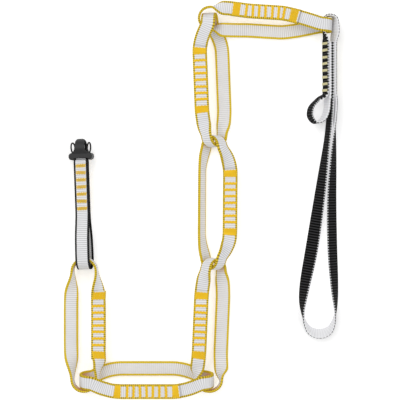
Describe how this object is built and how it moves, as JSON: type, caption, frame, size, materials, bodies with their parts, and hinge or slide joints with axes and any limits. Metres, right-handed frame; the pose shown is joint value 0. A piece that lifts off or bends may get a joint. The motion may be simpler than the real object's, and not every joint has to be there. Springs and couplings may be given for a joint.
{
  "type": "daisy chain",
  "caption": "Climbing daisy chain of linked sewn webbing rings between a connector sling with a rubber keeper and a long harness loop, laid flat.",
  "frame": {"origin": "centre of the box of the laid-out chain, on the table it lies on", "axes": "+X to the right in the laid-out view, +Y up the chain, +Z away from the table"},
  "size_m": [0.2474, 0.356, 0.0246],
  "materials": {
    "ring_webbing": "flat woven white tape with yellow edges",
    "yellow_thread": "tight bar-tack stitching in yellow thread",
    "sling_webbing": "flat woven white tape with black edges and a black back",
    "black_rubber": "matte moulded rubber",
    "harness_webbing": "flat woven tape, black on the outer face and white on the inner face and edges",
    "cream_thread": "tight bar-tack stitching in cream thread"
  },
  "bodies": {
    "connector_sling": {"connector_sling_back_stitching": "yellow_thread", "connector_sling_front_stitching": "yellow_thread", "connector_sling_tape": "sling_webbing", "rubber_keeper": "black_rubber"},
    "harness_loop": {"harness_loop_left_stitching": "cream_thread", "harness_loop_right_stitching": "cream_thread", "harness_loop_tape": "harness_webbing"},
    "ring_1": {"ring_1_inner_stitching": "yellow_thread", "ring_1_outer_stitching": "yellow_thread", "ring_1_tape": "ring_webbing"},
    "ring_2": {"ring_2_inner_stitching": "yellow_thread", "ring_2_outer_stitching": "yellow_thread", "ring_2_tape": "ring_webbing"},
    "ring_3": {"ring_3_inner_stitching": "yellow_thread", "ring_3_outer_stitching": "yellow_thread", "ring_3_tape": "ring_webbing"},
    "ring_4": {"ring_4_inner_stitching": "yellow_thread", "ring_4_outer_stitching": "yellow_thread", "ring_4_tape": "ring_webbing"},
    "ring_5": {"ring_5_inner_stitching": "yellow_thread", "ring_5_outer_stitching": "yellow_thread", "ring_5_tape": "ring_webbing"},
    "ring_6": {"ring_6_inner_stitching": "yellow_thread", "ring_6_outer_stitching": "yellow_thread", "ring_6_tape": "ring_webbing"}
  },
  "joints": [
    {"name": "ring_2_swing", "type": "hinge", "parent": "ring_3", "child": "ring_2", "pos_m": [0.00677, -0.16181, 0.01251], "axis": [0, 0, 1], "range_deg": [-5, 25]},
    {"name": "ring_1_swing", "type": "hinge", "parent": "ring_2", "child": "ring_1", "pos_m": [-0.10456, -0.16181, 0.01251], "axis": [0, 0, 1], "range_deg": [-8, 25]},
    {"name": "connector_sling_swing", "type": "hinge", "parent": "ring_1", "child": "connector_sling", "pos_m": [-0.10456, -0.06301, 0.01251], "axis": [0, 0, 1], "range_deg": [-10, 25]},
    {"name": "ring_4_swing", "type": "hinge", "parent": "ring_3", "child": "ring_4", "pos_m": [0.01091, -0.05756, 0.01251], "axis": [0, 0, 1], "range_deg": [-5, 7]},
    {"name": "ring_5_swing", "type": "hinge", "parent": "ring_4", "child": "ring_5", "pos_m": [0.0116, 0.0523, 0.01251], "axis": [0, 0, 1], "range_deg": [-5, 7]},
    {"name": "ring_6_swing", "type": "hinge", "parent": "ring_5", "child": "ring_6", "pos_m": [0.00781, 0.16282, 0.01251], "axis": [0, 0, 1], "range_deg": [-5, 20]},
    {"name": "harness_loop_swing", "type": "hinge", "parent": "ring_6", "child": "harness_loop", "pos_m": [0.1151, 0.15607, 0.01251], "axis": [0, 0, 1], "range_deg": [-5, 7]}
  ]
}
